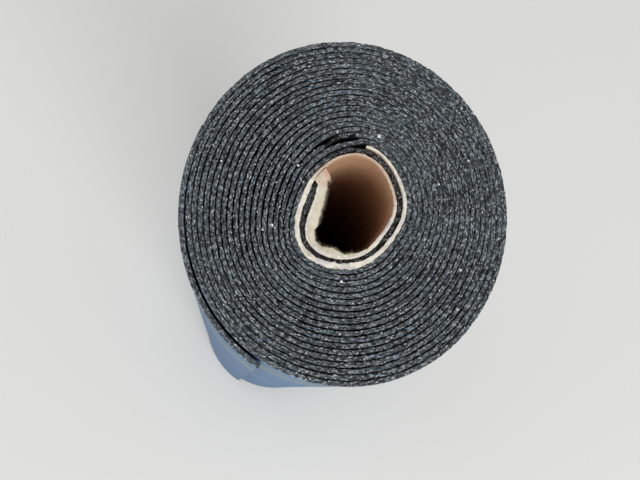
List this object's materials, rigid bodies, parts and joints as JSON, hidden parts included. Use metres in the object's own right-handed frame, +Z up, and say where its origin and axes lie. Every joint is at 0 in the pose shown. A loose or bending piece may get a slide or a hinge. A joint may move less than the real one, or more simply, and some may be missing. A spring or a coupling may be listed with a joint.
{
  "type": "roll of roofing felt",
  "caption": "Upright roll of bitumen roofing felt wound on a rolled card core, with a squashed open bore, its turns showing on both ends and a loose tail.",
  "frame": {"origin": "middle of the roll's outline on its lower end face", "axes": "+Z up along the winding axis; +X and +Y across the roll, the sheet winding outward from +X to +Y"},
  "size_m": [0.2316, 0.2456, 1],
  "materials": {
    "wound_felt": "rough bitumen edge, smooth light blue and grey film on the side",
    "card_core": "kraft brown with cream sawn edges"
  },
  "bodies": {
    "root": {"wound_felt": "wound_felt", "card_core": "card_core"}
  },
  "joints": []
}
